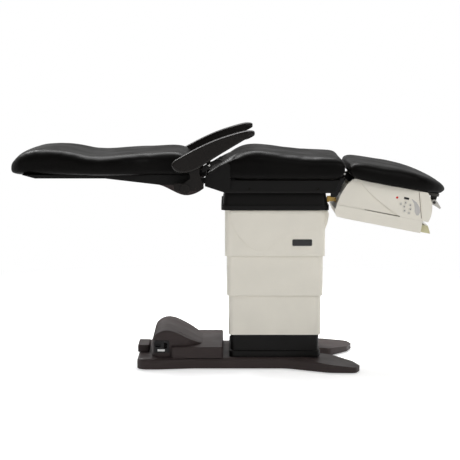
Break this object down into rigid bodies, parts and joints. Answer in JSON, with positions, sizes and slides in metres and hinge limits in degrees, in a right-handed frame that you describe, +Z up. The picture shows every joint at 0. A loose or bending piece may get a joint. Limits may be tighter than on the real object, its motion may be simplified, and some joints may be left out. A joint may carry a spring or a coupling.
{
  "type": "podiatry chair",
  "caption": "Powered podiatry chair with a telescoping covered lift column, tilting back and leg sections, levelling arms, sliding leg pad and debris tray",
  "frame": {"origin": "on the floor, midway between the two ends of the chair and on its centre plane", "axes": "+X towards the foot end, +Y to the patient's left, +Z up"},
  "size_m": [1.8901, 0.7, 1.0351],
  "materials": {
    "upholstery_vinyl": "black vinyl upholstery, satin gloss",
    "cream_cover": "cream moulded cover, light gloss",
    "base_moulding": "charcoal moulded plastic, satin",
    "black_moulding": "black moulded plastic, satin",
    "arm_urethane": "black skinned urethane, glossy",
    "black_frame": "black powder coat",
    "column_profile": "drawn aluminium",
    "bright_steel": "ground steel",
    "zinc_yellow": "yellow zinc plate",
    "panel_black": "black panel plastic",
    "blank_plate": "plain black plate",
    "lamp_red": "red lens",
    "display_black": "dark window",
    "key_grey": "pale key caps",
    "board_green": "circuit board",
    "tray_clear": "pale translucent tray",
    "glide_rubber": "rubber glide",
    "lever_grey": "grey moulded lever",
    "board_wood": "dark carrier board"
  },
  "bodies": {
    "base": {"base_frame": "black_frame", "base_cover": "base_moulding", "levelling_glides": "glide_rubber", "power_housing": "base_moulding", "inlet_panel": "panel_black", "mains_inlet": "panel_black", "power_unit": "black_frame", "control_box": "base_moulding", "rear_service_box": "base_moulding", "column_plinth": "black_moulding", "shroud_fixed": "black_moulding", "lift_stage_fixed": "column_profile"},
    "switch": {"power_switch": "black_moulding"},
    "lower_shroud": {"shroud_lower": "cream_cover"},
    "middle_shroud": {"shroud_middle": "cream_cover"},
    "middle_stage": {"lift_stage_middle": "column_profile"},
    "carriage": {"shroud_upper": "cream_cover", "badge_plate": "blank_plate", "underseat_skirt": "black_moulding", "cover_screws": "bright_steel", "lift_stage_top": "column_profile", "seat_frame": "black_frame", "seat_pan": "black_moulding", "seat_cushion": "upholstery_vinyl", "hinge_pins": "bright_steel", "back_actuator": "black_frame", "leg_actuator": "black_frame"},
    "back_rod": {"back_actuator_rod": "bright_steel"},
    "leg_rod": {"leg_actuator_rod": "zinc_yellow"},
    "back": {"back_frame": "black_frame", "back_shell": "black_moulding", "back_cushion": "upholstery_vinyl", "hinge_cover": "base_moulding"},
    "leg": {"leg_frame": "black_frame", "leg_housing": "cream_cover", "leg_end_cap": "cream_cover", "leg_pan": "cream_cover", "status_lamp": "lamp_red", "display_window": "display_black", "key_board": "board_green", "actuator_bracket": "zinc_yellow"},
    "leg_pad": {"leg_cushion": "upholstery_vinyl", "pad_carrier": "board_wood"},
    "lock": {"lock_lever": "lever_grey"},
    "tray": {"debris_tray": "tray_clear"},
    "arm_right": {"arm_bracket_right": "arm_urethane", "arm_shell_right": "arm_urethane", "arm_pad_right": "arm_urethane"},
    "release_right": {"arm_lever_right": "black_moulding"},
    "arm_left": {"arm_bracket_left": "arm_urethane", "arm_shell_left": "arm_urethane", "arm_pad_left": "arm_urethane"},
    "release_left": {"arm_lever_left": "black_moulding"},
    "key_body_1": {"key_1": "key_grey"},
    "key_body_2": {"key_2": "key_grey"},
    "key_body_3": {"key_3": "key_grey"},
    "key_body_4": {"key_4": "key_grey"},
    "key_body_5": {"key_5": "key_grey"},
    "key_body_6": {"key_6": "key_grey"},
    "key_body_7": {"key_7": "key_grey"}
  },
  "joints": [
    {"name": "lift", "type": "slide", "parent": "base", "child": "carriage", "axis": [0, 0, 1], "range_m": [-0.405, 0]},
    {"name": "lower_shroud_drop", "type": "slide", "parent": "base", "child": "lower_shroud", "axis": [0, 0, 1], "range_m": [-0.0625, 0]},
    {"name": "middle_shroud_drop", "type": "slide", "parent": "base", "child": "middle_shroud", "axis": [0, 0, 1], "range_m": [-0.234, 0]},
    {"name": "middle_stage_drop", "type": "slide", "parent": "base", "child": "middle_stage", "axis": [0, 0, 1], "range_m": [-0.2026, 0]},
    {"name": "back_hinge", "type": "hinge", "parent": "carriage", "child": "back", "pos_m": [-0.0255, 0, 0.8144], "axis": [0, 1, 0], "range_deg": [0, 80]},
    {"name": "back_rod_slide", "type": "slide", "parent": "carriage", "child": "back_rod", "axis": [-1, 0, 0], "range_m": [0, 0.0387]},
    {"name": "leg_hinge", "type": "hinge", "parent": "carriage", "child": "leg", "pos_m": [0.5, 0, 0.836], "axis": [0, -1, 0], "range_deg": [0, 11]},
    {"name": "leg_rod_slide", "type": "slide", "parent": "carriage", "child": "leg_rod", "axis": [1, 0, 0], "range_m": [0, 0.0215]},
    {"name": "leg_pad_slide", "type": "slide", "parent": "leg", "child": "leg_pad", "axis": [0.9816, 0, -0.1908], "range_m": [0, 0.2]},
    {"name": "lock_turn", "type": "hinge", "parent": "leg_pad", "child": "lock", "pos_m": [0.88229, -0.1453, 0.71687], "axis": [0, 1, 0], "range_deg": [0, 60]},
    {"name": "tray_slide", "type": "slide", "parent": "leg", "child": "tray", "axis": [0.9816, 0, -0.1908], "range_m": [0, 0.22]},
    {"name": "switch_rock", "type": "hinge", "parent": "base", "child": "switch", "pos_m": [-0.27025, -0.188, 0.10016], "axis": [1, 0, 0], "range_deg": [-8, 8]},
    {"name": "arm_right_level", "type": "hinge", "parent": "back", "child": "arm_right", "pos_m": [-0.18, -0.313, 0.79], "axis": [0, 1, 0], "range_deg": [-64, 0]},
    {"name": "release_right_squeeze", "type": "hinge", "parent": "arm_right", "child": "release_right", "pos_m": [-0.082, -0.3293, 0.891], "axis": [0, -1, 0], "range_deg": [0, 12], "stiffness_Nm_per_rad": 0.4, "springref_deg": -17.19},
    {"name": "arm_left_level", "type": "hinge", "parent": "back", "child": "arm_left", "pos_m": [-0.18, 0.313, 0.79], "axis": [0, 1, 0], "range_deg": [-64, 0]},
    {"name": "release_left_squeeze", "type": "hinge", "parent": "arm_left", "child": "release_left", "pos_m": [-0.082, 0.3293, 0.891], "axis": [0, -1, 0], "range_deg": [0, 12], "stiffness_Nm_per_rad": 0.4, "springref_deg": -17.19},
    {"name": "key_1_press", "type": "slide", "parent": "leg", "child": "key_body_1", "axis": [0, 1, 0], "range_m": [0, 0.0008], "stiffness_N_per_m": 400, "springref_m": -0.0004},
    {"name": "key_2_press", "type": "slide", "parent": "leg", "child": "key_body_2", "axis": [0, 1, 0], "range_m": [0, 0.0008], "stiffness_N_per_m": 400, "springref_m": -0.0004},
    {"name": "key_3_press", "type": "slide", "parent": "leg", "child": "key_body_3", "axis": [0, 1, 0], "range_m": [0, 0.0008], "stiffness_N_per_m": 400, "springref_m": -0.0004},
    {"name": "key_4_press", "type": "slide", "parent": "leg", "child": "key_body_4", "axis": [0, 1, 0], "range_m": [0, 0.0008], "stiffness_N_per_m": 400, "springref_m": -0.0004},
    {"name": "key_5_press", "type": "slide", "parent": "leg", "child": "key_body_5", "axis": [0, 1, 0], "range_m": [0, 0.0008], "stiffness_N_per_m": 400, "springref_m": -0.0004},
    {"name": "key_6_press", "type": "slide", "parent": "leg", "child": "key_body_6", "axis": [0, 1, 0], "range_m": [0, 0.0008], "stiffness_N_per_m": 400, "springref_m": -0.0004},
    {"name": "key_7_press", "type": "slide", "parent": "leg", "child": "key_body_7", "axis": [0, 1, 0], "range_m": [0, 0.0008], "stiffness_N_per_m": 400, "springref_m": -0.0004}
  ],
  "couplings": [
    {"joint": "lower_shroud_drop", "follows": "lift", "ratio": 0.154},
    {"joint": "middle_shroud_drop", "follows": "lift", "ratio": 0.575},
    {"joint": "middle_stage_drop", "follows": "lift", "ratio": 0.5},
    {"joint": "back_rod_slide", "follows": "back_hinge", "m_per_rad": 0.027622},
    {"joint": "arm_right_level", "follows": "back_hinge", "ratio": -0.795},
    {"joint": "arm_left_level", "follows": "back_hinge", "ratio": -0.795},
    {"joint": "leg_rod_slide", "follows": "leg_hinge", "m_per_rad": 0.11142}
  ]
}
